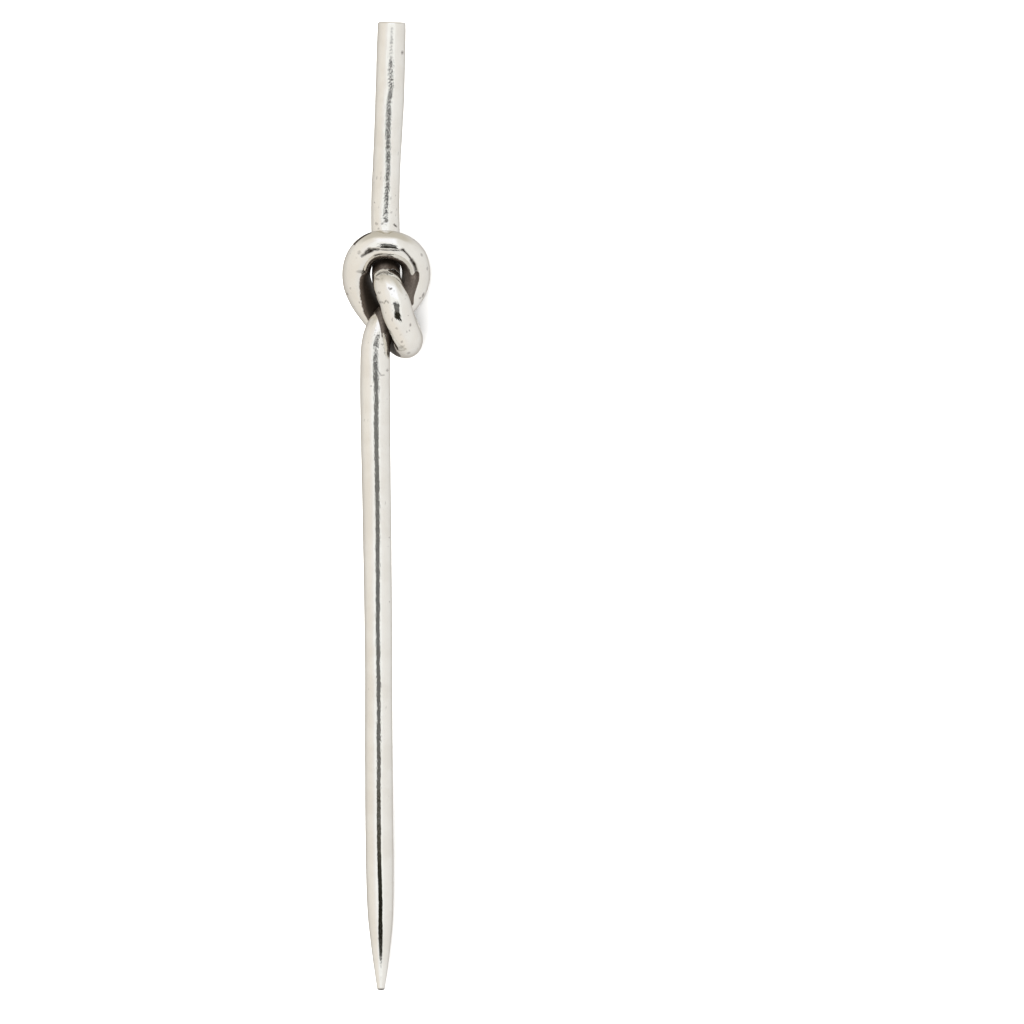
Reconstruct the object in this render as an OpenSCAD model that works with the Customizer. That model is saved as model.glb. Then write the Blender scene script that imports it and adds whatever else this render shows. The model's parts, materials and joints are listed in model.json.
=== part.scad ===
// Cocktail pick: one polished metal rod with an overhand knot near the handle end
// and a long straight shank that tapers to a blunt point.
// It lies on a table as it comes to rest: on the knot's ring, the knot's lobe and the shank's shoulder.

/* [Rod] */
// Diameter of the rod along the handle and round the knot
rod_d = 3.15; // [2.6:0.05:3.8]
// Diameter of the rod where the shank leaves the knot
neck_d = 3.3; // [2.6:0.05:3.9]
// Diameter of the straight shank
shank_d = 3; // [2.2:0.05:3.6]
// Clear gap between two strands of the knot where they cross
strand_gap = 0.07; // [0.04:0.01:0.4]

/* [Lengths] */
// Length of the handle, from the middle of the knot to its flat butt
handle_l = 29.8; // [18:0.2:60]
// Length of the shank, from the middle of the knot to the blunt point
shank_l = 77.8; // [50:0.2:130]
// Length over which the neck below the knot narrows to the shank
neck_l = 12; // [5:0.5:18]
// Length of the tapered point
taper_l = 8.7; // [6:0.1:14]

/* [Ends] */
// Lean of the handle out of the shank's line, in degrees
handle_lean = 2.4; // [0:0.1:6]
// Radius of the rounded edge of the butt
butt_round = 0.25; // [0.1:0.05:0.8]
// Diameter of the blunt end of the point
point_d = 0.9; // [0.5:0.05:1.6]
// Radius of the rounded edge of the blunt end
point_round = 0.22; // [0.05:0.01:0.24]
// Radius of the soft shoulder between the shank and its taper
shoulder_r = 20; // [6:1:30]

/* [Hidden] */

rod_r = rod_d / 2;
neck_r = neck_d / 2;
shank_r = shank_d / 2;
point_r = point_d / 2;

// Sides of the swept rod, its rings in one span of the spline, and steps in a rounded corner
sides = 28;
span_rings = 5;
corner_steps = 6;
// The swept rod is this much thinner than the turned rods that swallow its ends
lap = 0.01;

// The knot is drawn in millimetres for strands that lie this far apart, centre to centre
drawn_pitch = 3.22;
knot_scale = (rod_d + strand_gap) / drawn_pitch;
// The rod leaves the drawn knot at these heights along the pick
knot_top = 8.6;
knot_bottom = -8.3;
end_step = 3;
lean_way = [sin(handle_lean), cos(handle_lean), 0];
handle_foot = [1.2, knot_top, -3.3];

// Bends of the rod round the knot, with +X right, +Y towards the butt and +Z to the front.
// The handle comes down behind the ring, passes forward through it and crosses the front,
// turns back in a lobe, climbs behind the shank and closes the ring over the handle.
knot_bends = [
    // Through the ring from behind
    [1.25, 5.6, -3.2], [1.35, 3, -1.95], [1.2, 1.3, 0.7],
    // Down across the front
    [1.85, -0.25, 2.3], [2.55, -2.8, 2.25], [3.8, -4.85, 1.7],
    // Lobe that turns to the back
    [3.75, -6.15, 0.15], [2.95, -6.05, -2.35],
    // Up behind the shank
    [1.45, -4.45, -4.15], [-0.65, -2.05, -3.85], [-2.2, 0.6, -2.05],
    // Over the handle
    [-2, 3.3, -0.1], [-0.4, 5.15, 1.05], [2.4, 5.1, 1.1],
    // Down the right side, under the front strand
    [4.55, 3.75, 0.05], [4.75, 1.05, -1.55], [3.65, -1.15, -1.7], [1.4, -2.85, -0.85], [0, -5.2, -0.1]
];
handle_bends = [for (i = [3:-1:0]) handle_foot + i * end_step * lean_way];
shank_bends = [for (i = [0:3]) [0, knot_bottom - i * end_step, 0]];

// Every bend as [x, y, z, radius of the rod], at its real size; the last two draw the end inwards
bends = concat(
    [for (p = concat(handle_bends, knot_bends)) concat(p * knot_scale, rod_r - lap)],
    [for (i = [0:3]) concat(shank_bends[i] * knot_scale, (i < 2 ? 1 : 0.9) * neck_r - lap)]
);
// Bends that shape the lobe and the ring's right side, which meet the table
lobe_bends = [9, 13];
ring_bends = [17, 22];

function unit(v) = v / norm(v);
function xyz(p) = [p[0], p[1], p[2]];

// A uniform cubic B-spline and its slope, at t from 0 to 1 between bends i + 1 and i + 2
function spline(b, i, t) =
    (pow(1 - t, 3) * b[i] + (3 * pow(t, 3) - 6 * t * t + 4) * b[i + 1]
    + (3 * t + 3 * t * t - 3 * pow(t, 3) + 1) * b[i + 2] + pow(t, 3) * b[i + 3]) / 6;
function slope(b, i, t) =
    (-pow(1 - t, 2) * b[i] + (3 * t * t - 4 * t) * b[i + 1]
    + (1 + 2 * t - 3 * t * t) * b[i + 2] + t * t * b[i + 3]) / 2;

// A disc of the rod is [centre, axis, radius]; these are the discs of the sweep from bend a to bend b
function discs(a, b) = [
    for (i = [a - 1:b - 2], k = [0:span_rings - 1])
        let (t = k / span_rings, p = spline(bends, i, t))
            [xyz(p), unit(xyz(slope(bends, i, t))), p[3]]
];
sweep_discs = discs(1, len(bends) - 2);

// Side arrows of the discs, each the one before it turned no more than the bend asks
function square_to(v, axis) = unit(v - (v * axis) * axis);
side_arrows = [
    for (i = 0, v = square_to([0, 0, 1], sweep_discs[0][1]); i < len(sweep_discs);
        i = i + 1, v = square_to(v, sweep_discs[min(i, len(sweep_discs) - 1)][1])) v
];

// Points of a rounded corner in a profile of [radius, height], from angle a to angle b
function corner(centre, r, a, b) = [
    for (k = [0:corner_steps])
        let (angle = a + (b - a) * k / corner_steps)
            centre + r * [cos(angle), sin(angle)]
];

// The handle's outline from its foot to the butt, and where that rod starts
handle_start = handle_foot * knot_scale + 0.9 * end_step * knot_scale * lean_way;
butt_h = (handle_l - handle_start[1]) / lean_way[1];
handle_outline = concat(
    [[0, 0], [rod_r, 0]],
    corner([rod_r - butt_round, butt_h - butt_round], butt_round, 0, 90),
    [[0, butt_h]]
);

// The shank's outline from the neck to the blunt point, and where that rod starts
neck_start = (knot_bottom - 0.6 * end_step) * knot_scale;
point_h = shank_l + neck_start;
taper_angle = atan((shank_r - point_r) / taper_l);
shoulder_cut = shoulder_r * tan(taper_angle / 2);
shoulder_h = point_h - taper_l - shoulder_cut;
// The rounded edge of the blunt end touches the taper and the end face
edge_in = point_round * tan((90 - taper_angle) / 2);
shank_outline = concat(
    [[0, 0], [neck_r, 0], [shank_r, neck_l]],
    corner([shank_r - shoulder_r, shoulder_h], shoulder_r, 0, taper_angle),
    corner([point_r - edge_in, point_h - point_round], point_round, taper_angle, 90),
    [[0, point_h]]
);

// Discs of a turned rod: one at each corner of its outline
function turned_discs(outline, start, way) = [for (q = outline) [start + q[1] * way, way, q[0]]];
handle_discs = turned_discs(handle_outline, handle_start, lean_way);
shank_discs = turned_discs(shank_outline, [0, neck_start, 0], [0, -1, 0]);
all_discs = concat(sweep_discs, handle_discs, shank_discs);

// Half the width of a disc seen along a direction, and how far it reaches that way
function half_width(d, way) = d[2] * sqrt(max(0, 1 - pow(d[1] * way, 2)));
function reach(d, way) = d[0] * way + half_width(d, way);
function furthest(list, way) =
    let (best = max([for (d = list) reach(d, way)]))
        [for (d = list) if (reach(d, way) >= best) d][0];

// Direction square to the plane that three discs touch on its near side
function square_to_three(a, b, c, way) =
    let (
        p = a[0] - b[0],
        q = a[0] - c[0],
        normal = cross(p, q),
        p_rise = half_width(b, way) - half_width(a, way),
        q_rise = half_width(c, way) - half_width(a, way),
        lean = (p_rise * cross(q, normal) + q_rise * cross(normal, p)) / (normal * normal),
        straight = sqrt(1 - lean * lean) * unit(normal)
    )
    straight * way > 0 ? lean + straight : lean - straight;

// The table plane is found again and again from the discs that reach it
lobe_discs = discs(lobe_bends[0], lobe_bends[1]);
ring_discs = discs(ring_bends[0], ring_bends[1]);
far_discs = [for (d = shank_discs) if (d[0][1] < -shank_l / 2) d];
function settle(way, tries) =
    tries == 0 ? way : settle(square_to_three(
        furthest(lobe_discs, way), furthest(ring_discs, way), furthest(far_discs, way), way
    ), tries - 1);

// Down, along and across for the pick at rest; it rolls about this far onto its right side
first_roll = 45;
down = settle([sin(first_roll), 0, -cos(first_roll)], 6);
along = square_to([0, 1, 0], down);
across = cross(down, along);

// Middle of the reach in one direction
function middle(way) = (max([for (d = all_discs) reach(d, way)]) - max([for (d = all_discs) reach(d, -way)])) / 2;
floor_reach = max([for (d = all_discs) reach(d, down)]);

module lie_at_rest() {
    multmatrix([
        concat(across, -middle(across)),
        concat(along, -middle(along)),
        concat(-down, floor_reach),
        [0, 0, 0, 1]
    ]) children();
}

// The bent rod as one skin of rings
module knot() {
    turn = 360 / sides;
    rings = [
        for (i = [0:len(sweep_discs) - 1])
            let (d = sweep_discs[i], v = side_arrows[i], w = cross(d[1], v))
                for (k = [0:sides - 1]) d[0] + d[2] * (cos(k * turn) * v + sin(k * turn) * w)
    ];
    last = len(rings) - sides;
    skin = [
        for (i = [0:sides:last - 1], k = [0:sides - 1])
            let (next = (k + 1) % sides)
                each [[i + k, i + sides + k, i + next], [i + next, i + sides + k, i + sides + next]]
    ];
    polyhedron(
        points = rings,
        faces = concat([[for (k = [0:sides - 1]) k]], skin, [[for (k = [sides - 1:-1:0]) last + k]])
    );
}

// A rod turned from its outline, standing on the middle of its foot
module turned(outline) {
    rotate_extrude($fn = 96) polygon(outline);
}

module handle() {
    translate(handle_start) rotate([-90, 0, -handle_lean]) turned(handle_outline);
}

module shank() {
    translate([0, neck_start, 0]) rotate([90, 0, 0]) turned(shank_outline);
}

module pick() {
    color("silver") lie_at_rest() {
        knot();
        handle();
        shank();
    }
}

pick();
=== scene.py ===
import json

import bpy
import numpy as np
from mathutils import Matrix


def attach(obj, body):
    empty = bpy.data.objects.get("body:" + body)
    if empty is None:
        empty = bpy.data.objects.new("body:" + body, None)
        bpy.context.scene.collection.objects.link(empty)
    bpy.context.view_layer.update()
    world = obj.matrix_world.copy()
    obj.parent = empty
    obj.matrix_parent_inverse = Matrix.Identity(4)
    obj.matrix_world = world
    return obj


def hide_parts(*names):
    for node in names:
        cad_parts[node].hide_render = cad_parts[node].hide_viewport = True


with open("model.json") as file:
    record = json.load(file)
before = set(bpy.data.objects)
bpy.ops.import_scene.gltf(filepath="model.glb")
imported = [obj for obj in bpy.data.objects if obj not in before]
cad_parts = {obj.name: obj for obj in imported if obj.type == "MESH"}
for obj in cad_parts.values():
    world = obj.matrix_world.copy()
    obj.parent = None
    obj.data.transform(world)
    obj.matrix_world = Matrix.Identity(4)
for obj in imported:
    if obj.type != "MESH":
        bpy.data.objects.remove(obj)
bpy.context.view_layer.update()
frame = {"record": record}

# Lengths are in millimetres until a mesh is made. The pick is drawn upright, as it is looked at:
# +X to the right, +Y from the point to the handle and +Z to the viewer.
# The drawing's 0, 0, 0 lies in the knot, on the shank's line.
MM = 0.001

# The photograph's size and scale, the pixel where the drawing's 0, 0, 0 lies, and the shank's lean there
PHOTO_PIXELS = 1024
PIXELS_PER_MM = 9.0
KNOT_PIXEL = np.array([374.7, 290.0])
SHANK_LEAN = 0.00837

# Centre of the rod: bends of the knot between two straight runs
HANDLE_LEAN = np.radians(2.4)
HANDLE_FOOT = np.array([1.2, 8.6, -3.3])
HANDLE_WAY = np.array([np.sin(HANDLE_LEAN), np.cos(HANDLE_LEAN), 0.0])
SHANK_HEAD = np.array([0.0, -8.3, 0.0])
SHANK_WAY = np.array([0.0, -1.0, 0.0])
BEND_STEP = 3.0
KNOT_BENDS = np.array([
    # Through the ring from behind
    [1.25, 5.6, -3.2], [1.35, 3.0, -1.95], [1.2, 1.3, 0.7],
    # Down across the front
    [1.85, -0.25, 2.3], [2.55, -2.8, 2.25], [3.8, -4.85, 1.7],
    # Lobe that turns to the back
    [3.75, -6.15, 0.15], [2.95, -6.05, -2.35],
    # Up behind the shank
    [1.45, -4.45, -4.15], [-0.65, -2.05, -3.85], [-2.2, 0.6, -2.05],
    # Over the handle
    [-2.0, 3.3, -0.1], [-0.4, 5.15, 1.05], [2.4, 5.1, 1.1],
    # Down the right side, under the front strand
    [4.55, 3.75, 0.05], [4.75, 1.05, -1.55], [3.65, -1.15, -1.7], [1.4, -2.85, -0.85], [0.0, -5.2, -0.1],
])
BUTT_Y = 29.8
POINT_Y = -77.8
NECK_END_Y = -22.1

# The knot with its necks and its middle, and the ends of the two straight runs, in mm from the butt
KNOT_FROM, KNOT_MIDDLE, KNOT_TO = 20.0, 50.0, 82.0
HANDLE_RUN_END, SHANK_RUN_START = 22.0, 74.0

# The hand-finished rod isn't quite straight: how far it stands to the right at heights of the drawing
SWAY = [
    (POINT_Y, 0.05), (-71, 0.06), (-66, 0.02), (-58, 0.0), (-48, 0.03), (-40, 0.09), (-33, 0.08),
    (-26, 0.03), (-18, -0.03), (-10, -0.05), (-7, 0.0), (7, 0.0), (12, -0.03), (14.5, 0.0),
    (17, 0.06), (21, 0.10), (25, 0.08), (BUTT_Y, 0.04),
]

# Its straight runs aren't quite round either: how far their most forward line lies to the right of their
# middle, at heights of the drawing. This fades out at the knot over the given length.
LEAN_OF_SECTION = [
    (POINT_Y, 0.0), (-73.3, -0.02), (-70, -0.03), (-68.3, 0.01), (-65.6, -0.02), (-62.2, -0.08),
    (-58.3, -0.07), (-52.2, -0.03), (-45.6, -0.02), (-38.9, -0.09), (-32.2, -0.03), (-25.6, 0.06),
    (-19.4, 0.05), (-14.4, 0.06), (-11.1, 0.13), (-7, 0.0), (7, 0.0), (9.2, 0.09), (11.4, 0.18),
    (14.4, 0.16), (17.8, -0.08), (20.9, -0.12), (22.7, 0.06), (24.8, 0.02), (26.4, -0.04), (BUTT_Y, 0.0),
]
LEAN_FADE = 2.0

# Diameter of the rod at distances from the butt and from the point, and all round the knot
KNOT_GIRTH = 3.15
HANDLE_GIRTHS = [
    (0, 3.11), (2, 3.175), (5, 3.205), (9, 3.205), (15.4, 3.07), (18.4, 3.10), (22, KNOT_GIRTH),
]
SHANK_GIRTHS = [
    (0, 0.82), (1.1, 1.14), (2.2, 1.455), (3.3, 1.755), (4.4, 2.02), (6.7, 2.54), (7.8, 2.76), (9, 2.88),
    (10.5, 2.98), (14, 3.08), (21, 3.10), (27.5, 3.07), (35, 3.01), (43, 3.10), (50, 3.17), (56.4, 3.21),
    (61, 3.29), (65.3, 3.36), (69.8, 3.33), (73, KNOT_GIRTH),
]
# Radii of the rounded edges of the butt and of the point's blunt end
BUTT_EDGE = 0.25
POINT_EDGE = 0.22

# Swellings of one side of the rod: mm from the butt, the side's direction, reach along the rod and height
SWELLINGS = [
    (31.6, (-1, 0, 0), 1.8, 0.14), (37.4, (-0.9, -0.4, 0.1), 1.3, 0.20), (50.2, (1, 0, 0), 1.3, 0.07),
    (59.0, (0, -0.15, 0.99), 1.6, 0.20), (71.3, (-0.3, 0, 0.95), 1.6, 0.25),
]

# Hand-worked waves: height in mm, seed, shortest and longest wave in mm, and how many waves are summed
BROAD_WAVES = (0.011, 3, (2.2, 5.0), 28)
SMALL_WAVES = (0.0022, 4, (0.5, 1.1), 40)
# Their share at distances from the butt: the shank is worked more evenly, and its lower part most evenly.
# They fade out within this distance of either end.
CALM = [(74, 1.0), (84, 0.65), (112, 0.5), (124, 0.3)]
END_FADE = 0.6

# The grid of the skin: points round the rod, and the spacing of rings in the knot and along the runs, with
# the stretch over which it changes. Then a rounded edge's rings, and a flat end's by share of its radius.
ROUND_STEPS = 112
ROUND = np.linspace(0, 2 * np.pi, ROUND_STEPS, endpoint=False)
KNOT_SPACING = 0.11
RUN_SPACING = 0.28
SPACING_FADE = 3.0
EDGE_RINGS = 8
FACE_RINGS = np.array([0.35, 0.75])

# Samples of the path to a bend, and of the whole rod for its girths and its ring spacing
PATH_STEPS, GIRTH_STEPS, SPACING_STEPS = 60, 3000, 4000
# How many samples are taken together where sway, slope and girth are made smooth
SWAY_WINDOW, SLOPE_WINDOW, GIRTH_WINDOW = 61, 9, 31

# What lies further along the rod than this is another strand
OTHER_STRAND = 1.6 * KNOT_GIRTH
# Strands that shelter others: the stretch of rod that holds them, and the length of one piece of it
SHELTERING = (8, 100)
SHELTER_STEP = 0.6
# Strands that hide others from the viewer: the spacing at which they are looked for, how far past the knot,
# and how much a place must face the viewer to be seen at all
HIDING_STEP = 0.4
HIDING_MARGIN = 3.0
LEAST_FACING = 0.02


def smooth(values, width):
    """A running mean of that many samples, run twice. Both ends keep their value and their slope."""
    window = np.ones(width) / width
    for _ in range(2):
        padded = np.pad(values, width // 2, mode="reflect", reflect_type="odd")
        values = np.convolve(padded, window, mode="valid")[:len(values)]
    return values


def spline(bends, at):
    """A uniform cubic B-spline: at counts spans, and a span weighs four bends by cubics of its fraction."""
    span = np.minimum(at.astype(int), len(bends) - 4)
    t = (at - span)[:, None]
    return (
        (1 - t) ** 3 * bends[span] + (3 * t**3 - 6 * t**2 + 4) * bends[span + 1]
        + (1 + 3 * t + 3 * t**2 - 3 * t**3) * bends[span + 2] + t**3 * bends[span + 3]
    ) / 6


def straight_run(foot, way, length):
    """Bends of a straight run, a step apart, from its foot to past its end."""
    return foot + np.arange(0, length + 2 * BEND_STEP, BEND_STEP)[:, None] * way


def rod_path():
    """Centre of the whole rod from butt to point, with its distance from the butt at each place."""
    handle = straight_run(HANDLE_FOOT, HANDLE_WAY, BUTT_Y - HANDLE_FOOT[1])[::-1]
    shank = straight_run(SHANK_HEAD, SHANK_WAY, SHANK_HEAD[1] - POINT_Y)
    bends = np.vstack([handle, KNOT_BENDS, shank])
    path = spline(bends, np.linspace(0, len(bends) - 3, PATH_STEPS * len(bends)))
    path = path[(path[:, 1] <= BUTT_Y) & (path[:, 1] >= POINT_Y)]
    path[:, 0] += smooth(np.interp(path[:, 1], *zip(*SWAY)), SWAY_WINDOW)
    steps = np.linalg.norm(np.diff(path, axis=0), axis=1)
    return path, np.concatenate([[0], np.cumsum(steps)])


PATH, DISTANCE = rod_path()
LENGTH = DISTANCE[-1]


def along_rod(values, where):
    """Places or arrows that are given all along the path, read off at distances from the butt."""
    return np.stack([np.interp(where, DISTANCE, column) for column in values.T], -1)


def mount(name):
    """The record's mount of that name."""
    return next(m for m in frame["record"]["mounts"] if m["name"] == name)


def resting_axes():
    """The drawn pick's right, along and front directions in the row frame, and the place of its 0, 0, 0.

    The shank's mount gives the long axis. The handle's mount stands off that axis by (x, z) in the drawing
    and by the arrow `off` in the frame, so right is (x off + z (along x off)) / (x x + z z)."""
    shank, handle = mount("shank"), mount("handle")
    along = -np.array(shank["axis"])
    along = along / np.linalg.norm(along)
    gap = np.array(handle["pos_m"]) - np.array(shank["pos_m"])
    off = gap - (gap @ along) * along
    shank_middle = NECK_END_Y - shank["dims"]["length_mm"] / 2
    handle_up = (gap @ along / MM + shank_middle - HANDLE_FOOT[1]) / HANDLE_WAY[1]
    x = HANDLE_FOOT[0] + handle_up * HANDLE_WAY[0]
    z = HANDLE_FOOT[2]
    right = x * off + z * np.cross(along, off)
    right = right / np.linalg.norm(right)
    middle = np.array(shank["pos_m"]) - shank_middle * MM * along
    return np.array([right, along, np.cross(right, along)]), middle


AXES, MIDDLE = resting_axes()


def in_frame(points):
    """Drawn points, in millimetres, as places in the row frame, in metres."""
    return MIDDLE + MM * points @ AXES


def from_photo(pixels):
    """Pixels of the photograph as drawn x and y, with the shank's small lean and the scale taken off."""
    right, down = (np.asarray(pixels, float) - KNOT_PIXEL).T
    return np.stack([right - down * SHANK_LEAN, -down - right * SHANK_LEAN], -1) / PIXELS_PER_MM


def rod_radius(where):
    """Radius at a distance from the butt: half the handle's girth up to the knot's middle and half the
    shank's past it, made smooth."""
    fine = np.linspace(0, LENGTH, GIRTH_STEPS)
    handle = np.interp(fine, *zip(*HANDLE_GIRTHS))
    shank = np.interp(LENGTH - fine, *zip(*SHANK_GIRTHS))
    girth = np.where(fine < KNOT_MIDDLE, handle, shank)
    return np.interp(where, fine, smooth(girth, GIRTH_WINDOW)) / 2


def ring_distances():
    """Distances of the rings from the butt: close together in the knot and its necks, wider on the runs."""
    fine = np.linspace(0, LENGTH, SPACING_STEPS)
    in_knot = np.clip(np.minimum(fine - KNOT_FROM, KNOT_TO - fine) / SPACING_FADE, 0, 1)
    density = in_knot / KNOT_SPACING + (1 - in_knot) / RUN_SPACING
    count = np.concatenate([[0], np.cumsum((density[1:] + density[:-1]) / 2 * np.diff(fine))])
    return np.interp(np.linspace(0, count[-1], int(count[-1])), count, fine)


def carried_arrows(axes):
    """Side arrows of the rings: each is the one before it, with its share along the new axis taken out."""
    arrows = np.empty_like(axes)
    arrow = np.array([0.0, 0.0, 1.0])
    for i, axis in enumerate(axes):
        arrow = arrow - (arrow @ axis) * axis
        arrow = arrow / np.linalg.norm(arrow)
        arrows[i] = arrow
    return arrows


def end_rings(edge):
    """Insets of an end's rings from its face and its side: two on the flat face, then a quarter round."""
    turn = np.radians(np.linspace(0, 90, EDGE_RINGS + 1))[:-1]
    along = np.concatenate([[0, 0], edge * (1 - np.cos(turn))])
    inward = edge * (1 - np.sin(turn))
    return along, inward


def rod_grid():
    """The rod's skin as a grid of rings: places, outward arrows, distances from the butt, centres and radii.

    A point is centre + radius (cos a side + sin a other), with a round the rod and the centre on its path."""
    rings = ring_distances()
    rings = rings[(rings > BUTT_EDGE) & (rings < LENGTH - POINT_EDGE)]
    butt_along, butt_in = end_rings(BUTT_EDGE)
    point_along, point_in = end_rings(POINT_EDGE)
    where = np.concatenate([butt_along, rings, (LENGTH - point_along)[::-1]])
    radius = rod_radius(where)
    radius[:2] = FACE_RINGS * (radius[0] - BUTT_EDGE)
    radius[2:len(butt_along)] -= butt_in
    radius[-2:] = FACE_RINGS[::-1] * (radius[-1] - POINT_EDGE)
    radius[-len(point_along):-2] -= point_in[::-1]
    centre = along_rod(PATH, where)
    slope = np.gradient(PATH, DISTANCE, axis=0)
    axis = along_rod(np.stack([smooth(column, SLOPE_WINDOW) for column in slope.T], -1), where)
    axis = axis / np.linalg.norm(axis, axis=1, keepdims=True)
    side = carried_arrows(axis)
    other = np.cross(axis, side)
    out = np.cos(ROUND)[:, None] * side[:, None] + np.sin(ROUND)[:, None] * other[:, None]
    return centre[:, None] + radius[:, None, None] * out, out, where, centre, radius


def waves(points, height, seed, lengths, count):
    """A smooth random field, about that high: a mean of sine waves in random directions, each with a length
    between the two given."""
    rng = np.random.default_rng(seed)
    way = rng.normal(size=(count, 3))
    way = way / np.linalg.norm(way, axis=1, keepdims=True)
    size = rng.uniform(*lengths, count)
    phase = rng.uniform(0, 2 * np.pi, count)
    field = np.sin(points @ (2 * np.pi * way / size[:, None]).T + phase).mean(-1) * np.sqrt(2 * count) / 2
    return height * field


def shelter(points, out, where):
    """How much of the outlook of each point the rod's other strands take, from 0 in the open.

    A short piece of strand, d away, counts as its width times its length over pi d d, times the cosine at the
    point. d is taken to be no less than the rod's radius."""
    at = np.arange(*SHELTERING, SHELTER_STEP)
    strand = along_rod(PATH, at)
    towards = out @ strand.T - np.sum(out * points, -1)[..., None]
    apart = np.sum(points**2, -1)[..., None] + np.sum(strand**2, -1) - 2 * points @ strand.T
    apart = np.maximum(apart, (KNOT_GIRTH / 2) ** 2)
    other = np.abs(where[:, None, None] - at) > OTHER_STRAND
    taken = np.clip(towards, 0, None) * KNOT_GIRTH * SHELTER_STEP / (np.pi * apart**1.5)
    return np.sum(taken * other, -1)


def seen_from_front(points, out, where):
    """Which points of the skin the viewer sees: they face forward, and no other strand lies over them."""
    at = np.arange(KNOT_FROM, KNOT_TO, HIDING_STEP)
    strand = along_rod(PATH, at)
    knot = (where > KNOT_FROM - HIDING_MARGIN) & (where < KNOT_TO + HIDING_MARGIN)
    near = points[knot]
    aside = np.hypot(near[..., 0, None] - strand[:, 0], near[..., 1, None] - strand[:, 1])
    apart = np.abs(where[knot][:, None, None] - at) > OTHER_STRAND
    over = ((aside < KNOT_GIRTH / 2) & apart & (strand[:, 2] > near[..., 2, None])).any(-1)
    seen = out[..., 2] > LEAST_FACING
    seen[knot] &= ~over
    return seen


# Marks that show from the front are set by the photograph's pixels.
# Pits and smudges: x, y, length and width in pixels, turn in degrees, and how dark
FRONT_PITS = [
    # On the handle
    (402.4, 52.6, 2.4, 4.0, 10, 0.6), (390.5, 64.0, 3.4, 1.4, 0, 0.5), (391.7, 67.8, 3.8, 1.2, 30, 0.5),
    (389.6, 70.8, 3.0, 2.2, -30, 0.6), (391.3, 212.6, 2.0, 1.6, 0, 0.35), (386.3, 221.4, 3.6, 3.0, 0, 0.6),
    (376.4, 223.6, 3.4, 2.2, 30, 0.5), (382.2, 223.6, 2.8, 1.8, -20, 0.5), (395.2, 225.3, 5.2, 1.8, 40, 0.8),
    (378.4, 228.6, 2.2, 1.4, 0, 0.4), (379.6, 176.2, 1.6, 1.6, 0, 0.35),
    # On the ring
    (359.2, 252.6, 3.4, 4.4, 20, 0.35), (369.0, 248.6, 4.4, 1.6, -25, 0.7), (402.8, 249.8, 3.0, 2.8, 0, 1.0),
    (421.8, 255.0, 2.2, 3.0, -20, 0.45), (427.4, 268.6, 1.4, 3.4, 0, 0.4), (350.2, 288.4, 1.4, 2.2, 0, 0.3),
    (347.2, 294.0, 1.8, 3.4, -30, 0.45), (423.2, 295.2, 2.0, 5.2, 20, 0.6), (360.6, 271.8, 9.0, 3.2, 4, 0.42),
    (359.4, 302.4, 1.8, 2.4, -20, 0.35), (420.2, 298.2, 2.4, 2.0, -40, 0.5),
    (364.2, 273.6, 4.0, 2.6, 20, 0.4),
    # On the front strand
    (377.8, 279.2, 4.8, 1.8, 12, 0.55), (379.6, 293.0, 3.6, 1.8, 0, 0.45), (380.6, 302.4, 2.4, 2.2, 0, 0.6),
    (390.3, 288.8, 4.8, 1.7, 8, 0.8), (387.6, 273.6, 1.6, 2.4, 0, 0.7), (392.6, 319.7, 1.2, 3.2, 0, 0.4),
    (411.5, 325.0, 2.2, 3.6, 10, 0.5), (396.8, 328.4, 2.6, 1.8, 20, 0.35), (410.2, 331.2, 2.0, 1.8, 0, 0.4),
    (407.0, 332.4, 2.2, 1.6, 0, 0.4), (402.0, 341.8, 2.2, 2.2, 0, 0.45), (401.8, 346.8, 5.4, 3.0, -6, 0.3),
    (408.7, 353.0, 3.6, 2.2, -10, 0.35),
    # On the neck
    (382.4, 344.4, 3.0, 1.6, 0, 0.4), (387.3, 370.4, 2.6, 2.2, 0, 0.5), (384.8, 352.6, 1.4, 2.0, 0, 0.4),
]
# Depth in mm of the darkest pit, and the square of its reach, counted in its half width
BOWL_DEPTH = 0.035
BOWL_RIM = 1.4
# Folds and scratches: half width and depth in mm, how dark, then the pixels that they follow
FRONT_FOLDS = [
    # The long fold in the ring's front: its left end, its thin middle and its deep right side
    (0.130, 0.055, 1.0, [(362.3, 255.9), (365.0, 254.3), (366.6, 251.6), (369.5, 249.9), (374.0, 249.5)]),
    (0.110, 0.050, 1.0, [(365.0, 254.3), (368.6, 252.6), (371.6, 251.4), (374.0, 249.5), (379.0, 249.2)]),
    (0.060, 0.012, 0.5, [(377.0, 249.4), (384.0, 249.3), (389.0, 249.6), (394.5, 249.5), (402.0, 250.2)]),
    (0.080, 0.055, 1.0, [(401.0, 249.6), (403.4, 250.4), (406.0, 252.8), (408.8, 256.0), (411.5, 259.9)]),
    (0.160, 0.090, 1.0, [(411.5, 259.9), (414.3, 264.6), (415.8, 269.6), (416.5, 273.0), (416.3, 278.5)]),
    # Below it
    (0.080, 0.020, 0.65, [(375.4, 255.6), (378.8, 254.4), (382.0, 253.9)]),
    (0.060, 0.016, 0.5, [(381.0, 253.9), (386.0, 253.6), (390.5, 254.3)]),
    # On the front strand
    (0.065, 0.020, 0.7, [(376.5, 276.2), (379.5, 273.6), (383.5, 272.2), (387.0, 272.2)]),
    (0.050, 0.018, 0.6, [(382.6, 302.6), (384.2, 303.2), (385.6, 301.2), (387.0, 301.4), (388.3, 302.8)]),
    # On the neck
    (0.050, 0.020, 0.5, [(378.8, 372.9), (381.0, 375.2), (384.2, 375.0)]),
]
# A pit and a fold are stained this much past their own darkness, up to black
PIT_STAIN, FOLD_STAIN = 1.2, 1.7
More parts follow.
